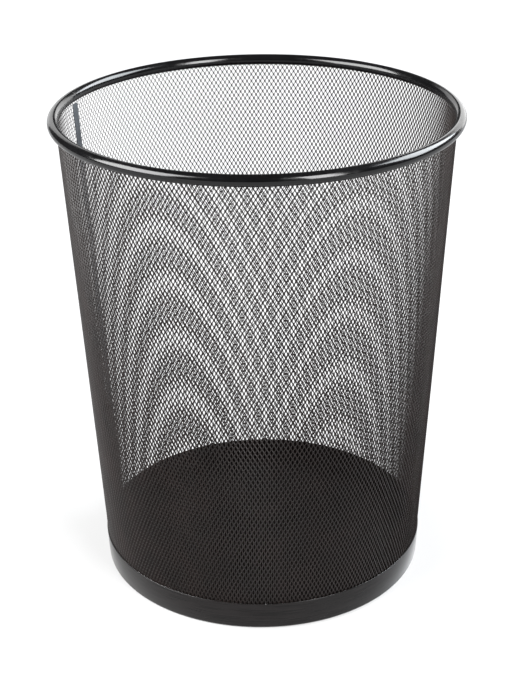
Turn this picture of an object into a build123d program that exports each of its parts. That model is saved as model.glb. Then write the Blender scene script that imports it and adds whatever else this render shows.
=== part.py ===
"""Round office wastebasket: a tapered expanded-steel wall between a rolled rim and a pressed base.

The frame is +Z up, with the origin on the floor at the centre of the base.
Sections are drawn on Plane.XZ, where x is the distance from the basket's axis and y is the height.
"""

import math
import os

from build123d import *

# Driving dimensions, in mm and degrees
overall_height = 355.4
rim_diameter = 292.8  # across the outside of the rolled rim
rim_tube_diameter = 8.0
wall_top_radius = 140.6  # outer face of the wall, level with the rim's centre
wall_base_radius = 122.0  # outer face of the wall, level with the band's top edge
band_height = 22.0
wall_thickness = 0.8  # overall thickness of the expanded sheet
sheet = 0.6  # thickness of the rim, band, pan and strip steel
fit_gap = 0.05  # paint-thick gap between nested sheets

# Rim
hoop_wire_diameter = 4.8
hoop_wire_offset = 0.8  # the wire sits this far outboard of the tube's centre, beside the wall's edge
wall_above_rim_centre = 0.8  # how far the wall's top edge passes the tube's centre
rim_joint_gap = 0.4  # between the rolled strip's two ends, filled by a tack weld

# Seam, where the two ends of the wall sheet meet
seam_angle = 162.0  # round from +X
seam_gap = 0.4
strip_width = 8.0
strip_corner_radius = 1.5
strip_end_gap = 1.0  # from the strip's ends to the pan and to the rim
seam_weld_diameter = 2.0
seam_weld_offset = 2.0  # from the seam to each row of welds
seam_weld_rows = 13
seam_weld_margin = 8.0  # from the strip's ends to the first and last welds

# Base
wall_bottom = 3.0  # height of the wall's lower edge, inside the band's channel
floor_height = 7.0  # underside of the pan's outer flat
panel_rise = 1.6  # the pan's middle is pressed up by this much, to stiffen it
panel_radius = 92.0
panel_step = 4.0
pan_corner_radius = 3.5
channel_width = 8.5  # inside the band's foot channel
band_corner_radius = 1.9  # these two are inside radii
channel_corner_radius = 0.8
base_weld_diameter = 3.0
base_weld_height = 16.0
base_weld_count = 12

# Worked-out places
rim_tube_radius = rim_tube_diameter / 2
rim_radius = rim_diameter / 2 - rim_tube_radius
rim_height = overall_height - rim_tube_radius
wall_top = rim_height + wall_above_rim_centre
wall_slope = (wall_top_radius - wall_base_radius) / (rim_height - band_height)
strip_bottom = band_height + strip_end_gap
strip_top = rim_height - rim_tube_radius - strip_end_gap
nested_inset = wall_thickness + fit_gap  # from the wall's outer face to whatever lies inside the wall
weld_core_length = 4.0  # weld cores run right through the layers, and are then trimmed to them

# The seam's own plane: x runs out from the axis through the seam, and y runs round the basket
seam_plane = Plane.XY.rotated((0, 0, seam_angle))
from_axis = (Align.MIN, Align.CENTER, Align.MIN)


def wall_radius(height, inset=0.0):
    """Radius of the wall's outer face at a height, less an inset."""
    return wall_base_radius + wall_slope * (height - band_height) - inset


def wall_section(bottom, top, outer_inset, inner_inset):
    """Corners of a thin section that follows the wall between two heights and two insets."""
    return [
        (wall_radius(bottom, inner_inset), bottom),
        (wall_radius(bottom, outer_inset), bottom),
        (wall_radius(top, outer_inset), top),
        (wall_radius(top, inner_inset), top),
    ]


def wall_layer(bottom, top, outer_inset, inner_inset):
    """A thin cone that follows the wall all the way round."""
    with BuildPart() as layer:
        with BuildSketch(Plane.XZ):
            with BuildLine():
                Polyline(*wall_section(bottom, top, outer_inset, inner_inset), close=True)
            make_face()
        revolve(axis=Axis.Z)
    return layer.part


def plane_on_wall(angle, height, sideways=0.0):
    """A plane on the wall's outer face that faces straight out of it."""
    turn = math.radians(angle)
    outward = Vector(math.cos(turn), math.sin(turn), 0)
    around = Vector(-math.sin(turn), math.cos(turn), 0)
    origin = outward * wall_radius(height) + around * sideways + Vector(0, 0, height)
    return Plane(origin=origin, x_dir=around, z_dir=outward - Vector(0, 0, wall_slope))


# Spot-weld cores, not yet trimmed to the layers that they join
with BuildPart() as seam_weld_cores:
    weld_pitch = (strip_top - strip_bottom - 2 * seam_weld_margin) / (seam_weld_rows - 1)
    for row in range(seam_weld_rows):
        weld_height = strip_bottom + seam_weld_margin + row * weld_pitch
        for side in (-1, 1):
            with Locations(plane_on_wall(seam_angle, weld_height, side * seam_weld_offset)):
                Cylinder(seam_weld_diameter / 2, weld_core_length)

with BuildPart() as base_weld_cores:
    for number in range(base_weld_count):
        weld_angle = seam_angle + (number + 0.5) * 360 / base_weld_count
        with Locations(plane_on_wall(weld_angle, base_weld_height)):
            Cylinder(base_weld_diameter / 2, weld_core_length)

# Wall: one expanded-steel sheet rolled into a cone. Its thousands of openings are left out of this solid.
with BuildPart() as mesh_wall:
    add(wall_layer(wall_bottom, wall_top, 0, wall_thickness))
    with Locations(seam_plane):
        Box(rim_diameter, seam_gap, overall_height, align=from_axis, mode=Mode.SUBTRACT)
    add(seam_weld_cores.part, mode=Mode.SUBTRACT)
    add(base_weld_cores.part, mode=Mode.SUBTRACT)
mesh_wall.part.label = "mesh_wall"

# Seam strip: a flat steel strip inside the wall, bridging the sheet's two ends
with BuildPart() as seam_strip:
    add(wall_layer(strip_bottom, strip_top, nested_inset, nested_inset + sheet))
    with Locations(seam_plane):
        Box(rim_diameter, strip_width, overall_height, align=from_axis, mode=Mode.INTERSECT)
    fillet(seam_strip.edges().group_by(SortBy.LENGTH)[0], radius=strip_corner_radius)
seam_strip.part.label = "seam_strip"

# Seam welds: nuggets that fuse the wall's two ends to the strip
with BuildPart() as seam_welds:
    add(wall_layer(strip_bottom, strip_top, 0, nested_inset))
    add(seam_weld_cores.part, mode=Mode.INTERSECT)
seam_welds.part.label = "seam_welds"

# The rim's section: a tube rolled from strip, with a slit in its lower inner side for the wall's edge
with BuildSketch(Plane.XZ) as rim_section:
    with Locations((rim_radius, rim_height)):
        Circle(rim_tube_radius)
        Circle(rim_tube_radius - sheet, mode=Mode.SUBTRACT)
    with BuildLine():
        slit_bottom = rim_height - rim_tube_diameter
        Polyline(*wall_section(slit_bottom, rim_height, -fit_gap, nested_inset), close=True)
    make_face(mode=Mode.SUBTRACT)

# Rim: the rolled tube, open at one butt joint over the seam
with BuildPart() as rim_bead:
    revolve(rim_section.sketch, axis=Axis.Z)
    with Locations(seam_plane):
        Box(rim_diameter, rim_joint_gap, overall_height, align=from_axis, mode=Mode.SUBTRACT)
rim_bead.part.label = "rim_bead"

# Rim weld: closes the butt joint
with BuildPart() as rim_joint_weld:
    revolve(rim_section.sketch, axis=Axis.Z)
    with Locations(seam_plane):
        Box(rim_diameter, rim_joint_gap, overall_height, align=from_axis, mode=Mode.INTERSECT)
rim_joint_weld.part.label = "rim_joint_weld"

# Hoop wire: fills the rolled rim and keeps it round
with BuildPart() as rim_hoop_wire:
    with BuildSketch(Plane.XZ):
        with Locations((rim_radius + hoop_wire_offset, rim_height)):
            Circle(hoop_wire_diameter / 2)
    revolve(axis=Axis.Z)
rim_hoop_wire.part.label = "rim_hoop_wire"

# Pan: the pressed floor. Its wall stands inside the mesh, and its middle panel is raised to stiffen it.
with BuildPart() as base_pan:
    with BuildSketch(Plane.XZ):
        with BuildLine():
            FilletPolyline(
                (0, floor_height + panel_rise),
                (panel_radius, floor_height + panel_rise),
                (panel_radius + panel_step, floor_height),
                (wall_radius(floor_height, nested_inset), floor_height),
                (wall_radius(band_height, nested_inset), band_height),
                radius=[panel_rise, panel_rise, pan_corner_radius],
            )
            offset(amount=sheet, side=Side.LEFT)
        make_face()
    revolve(axis=Axis.Z)
base_pan.part.label = "base_pan"

# Band: the outer skirt, turned under into a channel that the basket stands on
with BuildPart() as base_band:
    channel_outer = wall_radius(sheet, -fit_gap)
    channel_inner = channel_outer - channel_width
    with BuildSketch(Plane.XZ):
        with BuildLine():
            FilletPolyline(
                (wall_radius(band_height, -fit_gap), band_height),
                (channel_outer, sheet),
                (channel_inner, sheet),
                (channel_inner, floor_height),
                radius=[band_corner_radius, channel_corner_radius],
            )
            offset(amount=sheet, side=Side.LEFT)
        make_face()
    revolve(axis=Axis.Z)
base_band.part.label = "base_band"

# Base welds: nuggets that tie the band, the wall and the pan together
with BuildPart() as base_welds:
    add(wall_layer(band_height / 2, band_height, -fit_gap, nested_inset))
    add(base_weld_cores.part, mode=Mode.INTERSECT)
base_welds.part.label = "base_welds"

os.makedirs("parts", exist_ok=True)
for piece in (
    mesh_wall,
    seam_strip,
    seam_welds,
    rim_bead,
    rim_joint_weld,
    rim_hoop_wire,
    base_pan,
    base_band,
    base_welds,
):
    export_step(piece.part, f"parts/{piece.part.label}.step")
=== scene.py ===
"""Looks of the round steel-mesh wastebasket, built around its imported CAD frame. Lengths are in metres."""
import math

import bpy
import numpy as np
from mathutils import Matrix, Vector


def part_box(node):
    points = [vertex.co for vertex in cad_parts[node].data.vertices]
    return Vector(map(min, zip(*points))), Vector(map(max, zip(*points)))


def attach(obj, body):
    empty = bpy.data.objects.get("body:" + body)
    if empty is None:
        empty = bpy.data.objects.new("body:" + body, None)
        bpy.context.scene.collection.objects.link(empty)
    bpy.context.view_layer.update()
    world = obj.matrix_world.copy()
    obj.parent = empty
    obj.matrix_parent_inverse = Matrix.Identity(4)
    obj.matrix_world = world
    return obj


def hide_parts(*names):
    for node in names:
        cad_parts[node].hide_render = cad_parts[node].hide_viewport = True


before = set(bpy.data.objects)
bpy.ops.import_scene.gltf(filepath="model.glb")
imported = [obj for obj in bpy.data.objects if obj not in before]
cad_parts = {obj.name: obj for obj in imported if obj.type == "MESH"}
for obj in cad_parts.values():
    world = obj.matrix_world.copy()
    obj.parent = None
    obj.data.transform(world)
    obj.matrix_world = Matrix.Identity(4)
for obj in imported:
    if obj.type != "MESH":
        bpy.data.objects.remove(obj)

MM = 0.001
TAU = 2 * math.pi
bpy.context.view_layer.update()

# ---------------------------------------------------------------- sizes taken from the frame

rim_low, rim_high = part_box("rim_bead")
wall_low, wall_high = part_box("mesh_wall")
band_low, band_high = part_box("base_band")
pan_low, pan_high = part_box("base_pan")
wire_low, wire_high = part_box("rim_hoop_wire")
strip_low, strip_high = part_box("seam_strip")

SHEET = 0.6 * MM  # thickness of the rim, band, pan and strip
WALL_THICKNESS = 0.8 * MM
FIT_GAP = 0.05 * MM
NESTED_INSET = WALL_THICKNESS + FIT_GAP  # from the wall's outer face to what lies inside it
TUBE_RADIUS = (rim_high.z - rim_low.z) / 2
RIM_HEIGHT = rim_high.z - TUBE_RADIUS
RIM_RADIUS = rim_high.x - TUBE_RADIUS
BAND_TOP = band_high.z
WALL_BASE_RADIUS = band_high.x - SHEET - FIT_GAP
WALL_SLOPE = (wall_high.x - WALL_BASE_RADIUS) / (wall_high.z - BAND_TOP)
SEAM = math.atan2(strip_low.y + strip_high.y, strip_low.x + strip_high.x)


def wall_radius(height, inset=0.0):
    """Radius of the wall's outer face at a height, less an inset. Takes numbers or arrays."""
    return WALL_BASE_RADIUS + WALL_SLOPE * (height - BAND_TOP) - inset


# ---------------------------------------------------------------- camera

CAMERA_DISTANCE = 1.0447  # in front of the basket's axis
CAMERA_ABOVE_RIM = 0.3187  # above the rim's centre height
CAMERA_PITCH = math.radians(25.304)  # looking down
CAMERA_ROLL = math.radians(0.815)  # the basket leans a little anticlockwise in the picture

camera_data = bpy.data.cameras.new("camera")
camera_data.lens = 81.9
camera_data.sensor_width = 36.0
camera = bpy.data.objects.new("camera", camera_data)
camera.matrix_world = (
    Matrix.Translation((0, -CAMERA_DISTANCE, RIM_HEIGHT + CAMERA_ABOVE_RIM))
    @ Matrix.Rotation(math.pi / 2 - CAMERA_PITCH, 4, "X")
    @ Matrix.Rotation(-CAMERA_ROLL, 4, "Z")
)
bpy.context.scene.collection.objects.link(camera)
bpy.context.scene.camera = camera


# ---------------------------------------------------------------- materials


def add_noise(tree, coordinates, scale, detail):
    """A noise texture over the object's own coordinates. Scale is in cycles per metre."""
    noise = tree.nodes.new("ShaderNodeTexNoise")
    noise.inputs["Scale"].default_value = scale
    noise.inputs["Detail"].default_value = detail
    tree.links.new(coordinates, noise.inputs["Vector"])
    return noise.outputs["Fac"]


def spread(tree, value, low, high, source=(0.35, 0.65)):
    """Maps a value from its source range on to another range."""
    node = tree.nodes.new("ShaderNodeMapRange")
    node.inputs["From Min"].default_value = source[0]
    node.inputs["From Max"].default_value = source[1]
    node.inputs["To Min"].default_value = low
    node.inputs["To Max"].default_value = high
    tree.links.new(value, node.inputs["Value"])
    return node.outputs["Result"]


def blend_colours(tree, factor, first, second):
    """Mixes two colours, each a socket or a tuple, by a factor socket."""
    node = tree.nodes.new("ShaderNodeMix")
    node.data_type = "RGBA"
    for socket, colour in ((node.inputs["A"], first), (node.inputs["B"], second)):
        if isinstance(colour, tuple):
            socket.default_value = (*colour, 1.0)
        else:
            tree.links.new(colour, socket)
    tree.links.new(factor, node.inputs["Factor"])
    return node.outputs["Result"]


def paint(name, dark, light, roughness, shine, peel_size, peel_depth, dust=0.0, grain=1.0, bloom=0.0):
    """Black enamel or powder coat: mottled colour, orange peel, uneven gloss and dust on upward faces.

    dark and light are the ends of the mottling, roughness is a (low, high) pair, shine is the
    specular level, and the orange peel has a size and a depth in metres. A grain over 1 draws the
    mottling out into level streaks. A bloom is a faint powdery film, which whitens glancing views.
    """
    material = bpy.data.materials.new(name)
    material.use_nodes = True
    tree = material.node_tree
    shader = tree.nodes["Principled BSDF"]
    place = tree.nodes.new("ShaderNodeTexCoord").outputs["Object"]
    drawn = tree.nodes.new("ShaderNodeMapping")
    drawn.inputs["Scale"].default_value = (1, 1, grain)
    tree.links.new(place, drawn.inputs["Vector"])
    mottle = spread(tree, add_noise(tree, drawn.outputs["Vector"], 45, 4), 0, 1)
    colour = blend_colours(tree, mottle, dark, light)
    gloss = spread(tree, add_noise(tree, drawn.outputs["Vector"], 130, 3), *roughness)
    if dust:
        facing = tree.nodes.new("ShaderNodeSeparateXYZ")
        tree.links.new(tree.nodes.new("ShaderNodeNewGeometry").outputs["Normal"], facing.inputs[0])
        upward = spread(tree, facing.outputs["Z"], 0, 1, source=(0.55, 1.0))
        specks = spread(tree, add_noise(tree, place, 700, 5), 0, dust, source=(0.45, 0.75))
        settled = tree.nodes.new("ShaderNodeMath")
        settled.operation = "MULTIPLY"
        tree.links.new(upward, settled.inputs[0])
        tree.links.new(specks, settled.inputs[1])
        colour = blend_colours(tree, settled.outputs[0], colour, (0.36, 0.34, 0.31))
    tree.links.new(colour, shader.inputs["Base Color"])
    tree.links.new(gloss, shader.inputs["Roughness"])
    shader.inputs["Specular IOR Level"].default_value = shine
    shader.inputs["Sheen Weight"].default_value = bloom
    shader.inputs["Sheen Roughness"].default_value = 0.3
    bump = tree.nodes.new("ShaderNodeBump")
    bump.inputs["Strength"].default_value = 1.0
    bump.inputs["Distance"].default_value = peel_depth
    tree.links.new(add_noise(tree, place, 1 / peel_size, 2), bump.inputs["Height"])
    tree.links.new(bump.outputs["Normal"], shader.inputs["Normal"])
    return material


def drawn_steel(name):
    """Bare drawn wire: fine rings of brightness along it and a satin shine."""
    material = bpy.data.materials.new(name)
    material.use_nodes = True
    tree = material.node_tree
    shader = tree.nodes["Principled BSDF"]
    place = tree.nodes.new("ShaderNodeTexCoord").outputs["Object"]
    streaks = add_noise(tree, place, 900, 6)
    tree.links.new(
        blend_colours(tree, spread(tree, streaks, 0, 1), (0.36, 0.36, 0.37), (0.52, 0.52, 0.53)),
        shader.inputs["Base Color"],
    )
    tree.links.new(spread(tree, streaks, 0.28, 0.5), shader.inputs["Roughness"])
    shader.inputs["Metallic"].default_value = 1.0
    return material


mesh_paint = paint(
    "mesh_paint", (0.004, 0.002, 0.0016), (0.0078, 0.004, 0.0033), (0.28, 0.42), 0.32, 0.5 * MM, 0.010 * MM,
    bloom=0.15,
)
rim_paint = paint(
    "rim_paint", (0.0015, 0.0015, 0.0017), (0.003, 0.003, 0.0034), (0.13, 0.20), 0.44, 1.4 * MM, 0.0025 * MM,
    dust=0.012,
)
band_paint = paint(
    "band_paint", (0.003, 0.0025, 0.0025), (0.008, 0.0066, 0.0066), (0.16, 0.26), 0.22, 1.2 * MM, 0.006 * MM,
    grain=20.0, bloom=1.0,
)
pan_paint = paint(
    "pan_paint", (0.003, 0.0024, 0.0022), (0.006, 0.0047, 0.0044), (0.6, 0.75), 0.04, 0.9 * MM, 0.008 * MM,
    dust=0.012,
)
strip_paint = paint(
    "strip_paint", (0.027, 0.031, 0.036), (0.046, 0.052, 0.059), (0.30, 0.42), 0.4, 1.0 * MM, 0.008 * MM
)
bare_wire = drawn_steel("bare_wire")


# ---------------------------------------------------------------- mesh helpers

UNROLLED = "OFBake"  # the name of the UV map that lays each piece's surface out flat


def make_piece(name, vertices, faces, uvs, material, replaced, smooth=True, sharp_degrees=None):
    """A mesh piece on the root body, with a UV pair for each face corner.

    replaced names the CAD nodes that the piece stands in for. A smooth piece can keep the edges that
    turn by more than sharp_degrees sharp.
    """
    mesh = bpy.data.meshes.new(name)
    mesh.from_pydata(vertices, [], faces)
    if smooth:
        mesh.shade_smooth()
    mesh.uv_layers.new(name=UNROLLED).uv.foreach_set("vector", np.asarray(uvs, np.float32).ravel())
    if sharp_degrees:
        mesh.set_sharp_from_angle(angle=math.radians(sharp_degrees))
    mesh.materials.append(material)
    mesh.validate()
    piece = bpy.data.objects.new(name, mesh)
    bpy.context.scene.collection.objects.link(piece)
    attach(piece, "root")
    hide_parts(*replaced)
    return piece


def arc(centre, radius, start, end, steps):
    """Points of an arc in a section, as (distance from axis, height). Angles are in degrees."""
    return [
        (centre[0] + radius * math.cos(math.radians(a)), centre[1] + radius * math.sin(math.radians(a)))
        for a in np.linspace(start, end, steps + 1)
    ]


def fillet(points, radii, steps=6):
    """A section's open outline with its inner corners rounded."""
    path = [points[0]]
    for before, corner, after, radius in zip(points, points[1:], points[2:], radii):
        corner = Vector(corner)
        back = (Vector(before) - corner).normalized()
        ahead = (Vector(after) - corner).normalized()
        half = back.angle(ahead) / 2
        centre = corner + (back + ahead).normalized() * radius / math.sin(half)
        first = corner + back * radius / math.tan(half) - centre
        last = corner + ahead * radius / math.tan(half) - centre
        for share in np.linspace(0, 1, steps + 1):
            path.append(tuple(centre + first.slerp(last, share) * radius))
    path.append(points[-1])
    return path


def thicken(path, thickness, end_steps=4):
    """A closed section: a sheet with rounded edges, lying on the left of a path."""
    path = np.array(path)
    runs = np.diff(path, axis=0)
    runs /= np.linalg.norm(runs, axis=1)[:, None]
    bisectors = np.vstack([2 * runs[0], runs[:-1] + runs[1:], 2 * runs[-1]])
    lengths = np.linalg.norm(bisectors, axis=1)[:, None]
    lefts = np.stack([-bisectors[:, 1], bisectors[:, 0]], axis=1) / lengths
    offset = path + lefts * thickness * 2 / lengths
    turns = np.linspace(0, math.pi, end_steps + 2)[1:-1, None]
    far_edge = (path[-1] + offset[-1]) / 2 + thickness / 2 * (
        np.sin(turns) * runs[-1] - np.cos(turns) * lefts[-1]
    )
    near_edge = (path[0] + offset[0]) / 2 + thickness / 2 * (
        np.cos(turns) * lefts[0] - np.sin(turns) * runs[0]
    )
    return np.vstack([path, far_edge, offset[::-1], near_edge])


def loft(name, rings, closed, material, replaced, uv_rows=1, sharp_degrees=50):
    """Skins a list of equal closed rings of points. Rings that don't come back to the first get flat ends."""
    rings = np.asarray(rings, float)
    total, count = rings.shape[:2]
    spans = total if closed else total - 1
    around = np.linalg.norm(np.roll(rings[0], -1, 0) - rings[0], axis=1)
    along = np.append(0, np.cumsum(around)) / around.sum()
    per_row = spans / uv_rows
    faces, uvs = [], []
    for i in range(spans):
        here, there = i * count, (i + 1) % total * count
        row = int(i // per_row)
        left, right = (i - row * per_row) / per_row, (i + 1 - row * per_row) / per_row
        for k in range(count):
            k_next = (k + 1) % count
            faces.append((here + k, there + k, there + k_next, here + k_next))
            low, high = ((row + 0.03 + 0.94 * along[j]) / uv_rows for j in (k, k + 1))
            uvs += [(left, low), (right, low), (right, high), (left, high)]
    if not closed:
        faces.append(tuple(range(count)))
        faces.append(tuple(reversed(range((total - 1) * count, total * count))))
        uvs += [(0.0, 0.0)] * (2 * count)
    return make_piece(
        name, rings.reshape(-1, 3), faces, uvs, material, replaced, sharp_degrees=sharp_degrees
    )


def lathe(name, section, segments, material, replaced, start=0.0, turn=TAU, uv_rows=8):
    """Revolves a closed section about Z. A turn under a full one gets flat ends."""
    closed = turn >= TAU
    angles = start + turn * np.arange(segments if closed else segments + 1) / segments
    rings = [[(r * math.cos(a), r * math.sin(a), z) for r, z in section] for a in angles]
    return loft(name, rings, closed, material, replaced, uv_rows)


# ---------------------------------------------------------------- wall: expanded-steel sheet

COLUMNS = 250  # diamonds round the wall
ROW_HEIGHT = 6.3 * MM  # from one diamond to the next above it, at the foot
ROW_SHRINK = 0.0155 * MM  # how much lower each row is than the row beneath it
JOINT_HALF_WIDTH = 0.63 * MM  # from the middle of a joint to the upright side of an opening, at the top
JOINT_WIDENING = 0.21 * MM  # how much that grows by the foot of the wall, where the sheet is stretched least
HOLE_HALF_SIDE = 0.090  # of a row: half of each upright side
HOLE_HALF_HEIGHT = 0.385  # of a row: from an opening's middle to its top or bottom point
STRAND_DEPTH = 0.36 * MM
STRAND_BEVEL = 0.11 * MM  # how far an opening's sides draw back at the sheet's two faces
STRAND_TWIST = 0.24 * MM  # an opening's right side stands out of the sheet and its left side in
WAVE_DEPTH = 0.16 * MM  # how far the sheet wanders in and out half-way up
PANELS = 10
OUTER, MIDDLE, INNER = range(3)  # the rings of an opening, from the outer face to the inner face
TOP, RIGHT_UP, RIGHT_DOWN, BOTTOM, LEFT_DOWN, LEFT_UP = range(6)
CORNER_SIDE = np.array([0, 1, 1, 0, -1, -1])  # of an opening's corners: right or left of its middle
CORNER_RISE = np.array([
    HOLE_HALF_HEIGHT, HOLE_HALF_SIDE, -HOLE_HALF_SIDE, -HOLE_HALF_HEIGHT, -HOLE_HALF_SIDE, HOLE_HALF_SIDE
])

# Outlines of the sheet's blocks, anticlockwise from outside. Each corner is an opening's, given by
# half columns and half rows from the block's joint.
JOINT = [
    (-1, 0, RIGHT_DOWN), (0, -1, TOP), (1, 0, LEFT_DOWN), (1, 0, LEFT_UP), (0, 1, BOTTOM), (-1, 0, RIGHT_UP)
]
RIGHT_STRAND = [(1, 0, LEFT_UP), (1, 0, TOP), (0, 1, RIGHT_DOWN), (0, 1, BOTTOM)]
LEFT_STRAND = [(0, 1, BOTTOM), (0, 1, LEFT_DOWN), (-1, 0, TOP), (-1, 0, RIGHT_UP)]

lattice_low = wall_low.z + ROW_HEIGHT * (0.5 - HOLE_HALF_HEIGHT)
lattice_height = wall_high.z - lattice_low
row_count = (ROW_HEIGHT - math.sqrt(ROW_HEIGHT**2 - 2 * ROW_SHRINK * lattice_height)) / ROW_SHRINK
LAST_ROW = int(2 * row_count)  # in half rows


def lattice_points(keys):
    """Column, row and place of each keyed point of the sheet."""
    ring, corner = keys % 3, keys // 3 % 6
    p, q = keys // 18 % (4 * COLUMNS) - 1, keys // 18 // (4 * COLUMNS) - 1
    drawn_back = STRAND_BEVEL * (ring != MIDDLE)
    side, rise = CORNER_SIDE[corner], CORNER_RISE[corner]
    row = q / 2 + rise + np.sign(rise) * drawn_back / ROW_HEIGHT
    height = lattice_low + row * (ROW_HEIGHT - row * ROW_SHRINK / 2)
    share = np.clip((height - BAND_TOP) / (RIM_HEIGHT - BAND_TOP), 0, 1)
    joint = JOINT_HALF_WIDTH + JOINT_WIDENING * (1 - share) - drawn_back
    column_width = TAU * wall_radius(height) / COLUMNS
    column = p / 2 + side * (0.5 - joint / column_width)
    angle = SEAM + TAU * (column + 0.1) / COLUMNS
    wave = (np.sin(3 * angle + 5 * share) + 0.6 * np.sin(7 * angle - 9 * share)) / 1.6
    radius = wall_radius(height, WALL_THICKNESS / 2) + WAVE_DEPTH * np.sin(math.pi * share) * wave
    radius += (MIDDLE - ring) * STRAND_DEPTH / 2 + side * STRAND_TWIST
    place = np.stack([radius * np.cos(angle), radius * np.sin(angle), height], axis=1)
    return column, row, place


def wall_panel(number):
    """One panel of the wall, as one closed surface of joints and the strands between them.

    Places are counted in half columns, p, and half rows, q. Openings stand where p + q is even, and joints,
    where four strands meet, where it is odd. Each joint owns the strands up to its right and up to its left.
    """
    first, last = (2 * COLUMNS * n // PANELS for n in (number, number + 1))
    p, q = (grid.ravel() for grid in np.meshgrid(np.arange(first, last), np.arange(LAST_ROW + 1)))
    p, q = (places[(p + q) % 2 == 1] for places in (p, q))
    has_right = (q < LAST_ROW) & (p < 2 * COLUMNS - 1)
    has_left = (q < LAST_ROW) & (p > 0)
    always = np.full(len(p), True)
    outlines, sides = [], []

    def add_blocks(outline, present, open_sides):
        """Adds a block at each joint where it is present. open_sides maps an edge to where it is a side."""
        keys = np.stack([
            (((q + dq + 1) * 4 * COLUMNS + p + dp + 1) * 6 + corner)[present] for dp, dq, corner in outline
        ], axis=1)
        outlines.append(keys)
        for edge, where in open_sides.items():
            ends = keys[:, [edge, (edge + 1) % len(outline)]]
            sides.append(ends[where[present]])

    add_blocks(JOINT, always, {
        0: (q == 0) | (p == first),
        1: (q == 0) | (p == last - 1),
        2: always,
        3: ~has_right,
        4: ~has_left,
        5: always,
    })
    add_blocks(RIGHT_STRAND, has_right, {0: always, 1: p == last - 1, 2: always})
    add_blocks(LEFT_STRAND, has_left, {0: always, 1: p == first, 2: always})

    start, end = np.vstack(sides).T * 3
    outer_faces = [3 * keys + OUTER for keys in outlines]
    outer_faces.append(np.stack([end + OUTER, start + OUTER, start + MIDDLE, end + MIDDLE], axis=1))
    inner_faces = [3 * keys[:, ::-1] + INNER for keys in outlines]
    inner_faces.append(np.stack([end + MIDDLE, start + MIDDLE, start + INNER, end + INNER], axis=1))
    corners = np.concatenate([keys.ravel() for keys in outer_faces + inner_faces])
    inward = np.arange(len(corners)) >= len(corners) // 2
    used, index = np.unique(corners, return_inverse=True)
    column, row, place = lattice_points(used)
    across = (column[index] - first / 2 + 1) / ((last - first) / 2 + 2)
    uvs = np.stack([(across + inward) / 2, (row[index] + 1) / (LAST_ROW / 2 + 2)], axis=1)
    faces, begin = [], 0
    for keys in outer_faces + inner_faces:
        faces += index[begin : begin + keys.size].reshape(keys.shape).tolist()
        begin += keys.size
    return make_piece(
        f"wall_panel_{number + 1:02d}", place, faces, uvs, mesh_paint, ["mesh_wall"],
        smooth=False,
    )


for number in range(PANELS):
    wall_panel(number)


# ---------------------------------------------------------------- rim, rolled over the wall's top edge

RIM_JOINT_GAP = 0.4 * MM
WELD_HALF_WIDTH = 1.6 * MM
WELD_PROUD = 0.05 * MM


def tube_section(outside, inside):
    """The rolled tube's section, open where the wall's edge goes in. Radii are from the tube's centre."""
    centre = (RIM_RADIUS, RIM_HEIGHT)
    entry = RIM_HEIGHT - TUBE_RADIUS
    lips = [wall_radius(entry, inset) - RIM_RADIUS for inset in (-FIT_GAP, NESTED_INSET)]

    def angle(lip, radius):
        return 360 - math.degrees(math.acos(lip / radius))

    return arc(centre, outside, angle(lips[0], outside) - 360, angle(lips[1], outside), 64) + arc(
        centre, inside, angle(lips[1], inside), angle(lips[0], inside) - 360, 32
    )


joint_turn = RIM_JOINT_GAP / RIM_RADIUS
lathe(
    "rim_tube", tube_section(TUBE_RADIUS, TUBE_RADIUS - SHEET), 720, rim_paint, ["rim_bead"],
    start=SEAM + joint_turn / 2, turn=TAU - joint_turn, uv_rows=16,
)
weld_rings = []
for share in np.linspace(-1, 1, 17):
    angle = SEAM + share * WELD_HALF_WIDTH / RIM_RADIUS
    proud = WELD_PROUD * math.cos(share * math.pi / 2)
    section = tube_section(TUBE_RADIUS + proud, TUBE_RADIUS - SHEET / 2)
    weld_rings.append([(r * math.cos(angle), r * math.sin(angle), z) for r, z in section])
loft("rim_weld", weld_rings, False, rim_paint, ["rim_joint_weld"])

wire_radius = (wire_high.z - wire_low.z) / 2
wire_centre = (wire_high.x - wire_radius, RIM_HEIGHT)
lathe(
    "hoop_wire", arc(wire_centre, wire_radius, 0, 345, 23), 360, bare_wire, ["rim_hoop_wire"]
)


# ---------------------------------------------------------------- base

CHANNEL_WIDTH = 8.5 * MM
BAND_CORNER = 1.9 * MM
CHANNEL_CORNER = 0.8 * MM
PANEL_RADIUS = 92 * MM
PANEL_RISE = 1.6 * MM
PANEL_STEP = 4 * MM
PAN_CORNER = 3.5 * MM
HUB = 0.3 * MM  # where the pan's section starts, beside the axis

channel_outer = wall_radius(SHEET, -FIT_GAP)
channel_inner = channel_outer - CHANNEL_WIDTH
band_path = fillet(
    [
        (wall_radius(BAND_TOP - SHEET / 2, -FIT_GAP), BAND_TOP - SHEET / 2),
        (channel_outer, SHEET),
        (channel_inner, SHEET),
        (channel_inner, pan_low.z - SHEET / 2),
    ],
    [BAND_CORNER, CHANNEL_CORNER],
    steps=8,
)
lathe("band", thicken(band_path, SHEET), 720, band_paint, ["base_band"], uv_rows=16)

pan_path = fillet(
    [
        (HUB, pan_low.z + PANEL_RISE),
        (PANEL_RADIUS, pan_low.z + PANEL_RISE),
        (PANEL_RADIUS + PANEL_STEP, pan_low.z),
        (wall_radius(pan_low.z, NESTED_INSET), pan_low.z),
        (wall_radius(BAND_TOP, NESTED_INSET), BAND_TOP),
    ],
    [PANEL_RISE, PANEL_RISE, PAN_CORNER],
    steps=8,
)
lathe("pan", thicken(pan_path, SHEET), 480, pan_paint, ["base_pan"], uv_rows=1)
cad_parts["base_welds"].data.materials.clear()
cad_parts["base_welds"].data.materials.append(pan_paint)


# ---------------------------------------------------------------- seam strip and its spot welds

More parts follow.
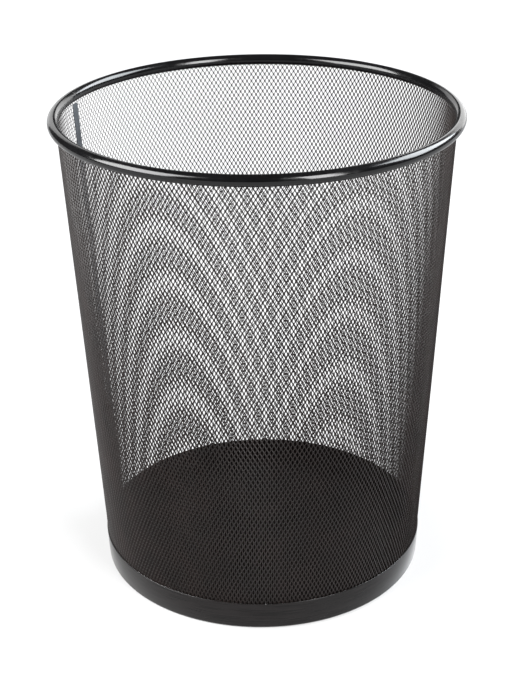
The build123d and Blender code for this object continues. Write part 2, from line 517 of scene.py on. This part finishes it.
STRIP_WIDTH = 8 * MM
STRIP_CORNER = 1.5 * MM
STRIP_EDGE = 0.22 * MM
WELD_OFFSET = 2 * MM
WELD_ROWS = 13
WELD_MARGIN = 8 * MM
DIMPLE_RADIUS = 1.5 * MM
DIMPLE_DEPTH = 0.18 * MM
NUGGET_RADIUS = 1.15 * MM

strip_top = strip_high.z + 0.9 * MM  # the strip runs up to the rim, with only paint between them

weld_heights = np.linspace(strip_low.z + WELD_MARGIN, strip_high.z - WELD_MARGIN, WELD_ROWS)


def beside_seam(sideways, height, inset):
    """A place on the wall beside the seam, sideways along the wall and inset from its outer face."""
    radius = wall_radius(height, inset)
    angle = SEAM + sideways / radius
    return (radius * math.cos(angle), radius * math.sin(angle), height)


def dimple(sideways, height):
    """How far the welding tip pressed the strip's inner face in at a place."""
    reach = min(math.hypot(abs(sideways) - WELD_OFFSET, height - weld) for weld in weld_heights)
    share = min(reach / DIMPLE_RADIUS, 1)
    return DIMPLE_DEPTH * (1 + math.cos(math.pi * share)) / 2


def strip_ring(height):
    """The strip's outline at a height: two long faces with rounded edges, narrower near its round corners."""
    from_end = min(height - strip_low.z, strip_top - height)
    cut = STRIP_CORNER - math.sqrt(STRIP_CORNER**2 - max(STRIP_CORNER - from_end, 0) ** 2)
    half = STRIP_WIDTH / 2 - cut
    ring = []
    for sideways in np.linspace(half - STRIP_EDGE, STRIP_EDGE - half, 33):
        ring.append(beside_seam(sideways, height, NESTED_INSET + SHEET - dimple(sideways, height)))
    ring.append(beside_seam(-half, height, NESTED_INSET + SHEET - STRIP_EDGE))
    ring.append(beside_seam(-half, height, NESTED_INSET + STRIP_EDGE))
    for sideways in np.linspace(STRIP_EDGE - half, half - STRIP_EDGE, 9):
        ring.append(beside_seam(sideways, height, NESTED_INSET))
    ring.append(beside_seam(half, height, NESTED_INSET + STRIP_EDGE))
    ring.append(beside_seam(half, height, NESTED_INSET + SHEET - STRIP_EDGE))
    return ring


strip_heights = np.linspace(strip_low.z, strip_top, 721)
loft(
    "seam_cover_strip", [strip_ring(height) for height in strip_heights], False, strip_paint,
    ["seam_strip"], uv_rows=6,
)


def nugget_rings(sideways, height):
    """A spot weld: a low dome through the mesh, from the strip out to just past the wall's outer face."""
    profile = [
        (1.0, NESTED_INSET), (1.0, 0.35 * MM), (0.86, 0.12 * MM), (0.55, -0.02 * MM), (0.15, -0.08 * MM)
    ]
    rings = []
    for width, inset in profile:
        turns = TAU * np.arange(20) / 20
        radius = NUGGET_RADIUS * width
        rings.append([
            beside_seam(sideways + radius * math.cos(t), height + radius * math.sin(t), inset) for t in turns
        ])
    return rings


for row, weld in enumerate(weld_heights):
    for side, name in ((-1, "left"), (1, "right")):
        loft(
            f"seam_weld_{name}_{row + 1:02d}", nugget_rings(side * WELD_OFFSET, weld), False, strip_paint,
            ["seam_welds"],
        )


# ---------------------------------------------------------------- floor, light and surroundings


def lit_floor(name, colour, roughness, glow, reflected_glow):
    """A smooth matt floor that glows evenly, as a light table does, and less in the basket's reflections."""
    material = bpy.data.materials.new(name)
    material.use_nodes = True
    tree = material.node_tree
    shader = tree.nodes["Principled BSDF"]
    shader.inputs["Base Color"].default_value = (*colour, 1)
    shader.inputs["Roughness"].default_value = roughness
    shader.inputs["Emission Color"].default_value = (1, 1, 1, 1)
    seen = tree.nodes.new("ShaderNodeMix")
    tree.links.new(tree.nodes.new("ShaderNodeLightPath").outputs["Is Camera Ray"], seen.inputs["Factor"])
    seen.inputs["A"].default_value = reflected_glow
    seen.inputs["B"].default_value = glow
    tree.links.new(seen.outputs["Result"], shader.inputs["Emission Strength"])
    return material


def softbox(name, azimuth, elevation, distance, width, length, radiance, colour=(1, 1, 1)):
    """A rectangular light facing the basket's mouth. Azimuth is in degrees from +X, elevation from level."""
    data = bpy.data.lights.new(name, "AREA")
    data.shape = "RECTANGLE"
    data.size = width
    data.size_y = length
    data.energy = radiance * math.pi * width * length
    data.color = colour
    light = bpy.data.objects.new(name, data)
    turn, climb = math.radians(azimuth), math.radians(elevation)
    toward = Vector((math.cos(turn) * math.cos(climb), math.sin(turn) * math.cos(climb), math.sin(climb)))
    light.location = Vector((0, 0, RIM_HEIGHT)) + toward * distance
    light.rotation_euler = toward.to_track_quat("Z", "Y").to_euler()
    light.visible_camera = False
    bpy.context.scene.collection.objects.link(light)
    return light


FLOOR_REACH = 2.6  # from the basket's axis to the floor's edges
floor_corners = [(x * FLOOR_REACH, y * FLOOR_REACH, 0) for x, y in ((-1, -1), (1, -1), (1, 1), (-1, 1))]
floor_mesh = bpy.data.meshes.new("floor")
floor_mesh.from_pydata(floor_corners, [], [(0, 1, 2, 3)])
floor_mesh.materials.append(lit_floor("pale_floor", (0.20, 0.20, 0.20), 0.9, glow=0.57, reflected_glow=0.25))
floor = bpy.data.objects.new("floor", floor_mesh)
bpy.context.scene.collection.objects.link(floor)

softbox("left_softbox", 199, 29, 4.0, 3.4, 3.2, 15.0)
softbox("right_back_softbox", 22, 33, 4.0, 3.2, 2.4, 15.0, (0.92, 0.96, 1.0))
softbox("right_front_softbox", -55, 25, 4.0, 1.3, 3.4, 17.0)
softbox("back_left_card", 110, 11, 4.0, 1.8, 2.6, 1.4)
softbox("back_right_card", 66, 9, 4.0, 2.6, 2.2, 2.6)

# The studio itself is dark, so that only the lights and the floor show in the paint.
world = bpy.data.worlds.new("studio")
world.use_nodes = True
tree = world.node_tree
seen = tree.nodes.new("ShaderNodeMix")
tree.links.new(tree.nodes.new("ShaderNodeLightPath").outputs["Is Camera Ray"], seen.inputs["Factor"])
seen.inputs["A"].default_value = 0.08
seen.inputs["B"].default_value = 1.0
tree.links.new(seen.outputs["Result"], tree.nodes["Background"].inputs["Color"])
bpy.context.scene.world = world
bpy.context.scene.view_settings.view_transform = "Standard"
